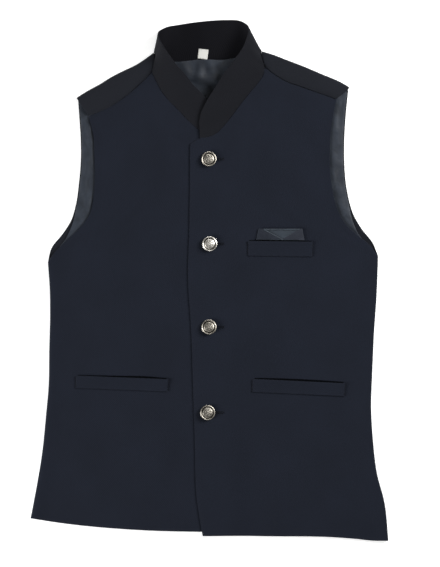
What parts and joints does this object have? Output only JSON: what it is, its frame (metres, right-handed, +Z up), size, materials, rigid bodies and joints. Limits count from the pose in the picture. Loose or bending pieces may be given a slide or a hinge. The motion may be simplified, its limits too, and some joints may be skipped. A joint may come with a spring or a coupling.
{
  "type": "nehru jacket",
  "caption": "Sleeveless band-collar jacket in dark suiting, buttoned and laid flat front up, with welt pockets and a satin pocket square.",
  "frame": {"origin": "centre of the plan outline, on the surface the jacket lies on", "axes": "+X to the viewer's right across the shoulders, +Y from hem to collar, +Z up off the surface"},
  "size_m": [0.5184, 0.7551, 0.033],
  "materials": {
    "suiting": "dark navy plain suiting, matt",
    "collar_cloth": "near-black navy suiting, matt",
    "lining_satin": "slate-blue lining satin, soft sheen",
    "square_satin": "slate-blue satin, soft sheen",
    "label_tape": "bare woven tape, off-white",
    "button_pewter": "antiqued pewter, satin"
  },
  "bodies": {
    "root": {"back": "suiting", "back_lining": "lining_satin", "front_right": "suiting", "front_left": "suiting", "collar": "collar_cloth", "welt_lower_right": "suiting", "welt_lower_left": "suiting", "welt_chest": "suiting", "pocket_square": "square_satin", "neck_label": "label_tape", "button_1": "button_pewter", "button_2": "button_pewter", "button_3": "button_pewter", "button_4": "button_pewter"}
  },
  "joints": []
}
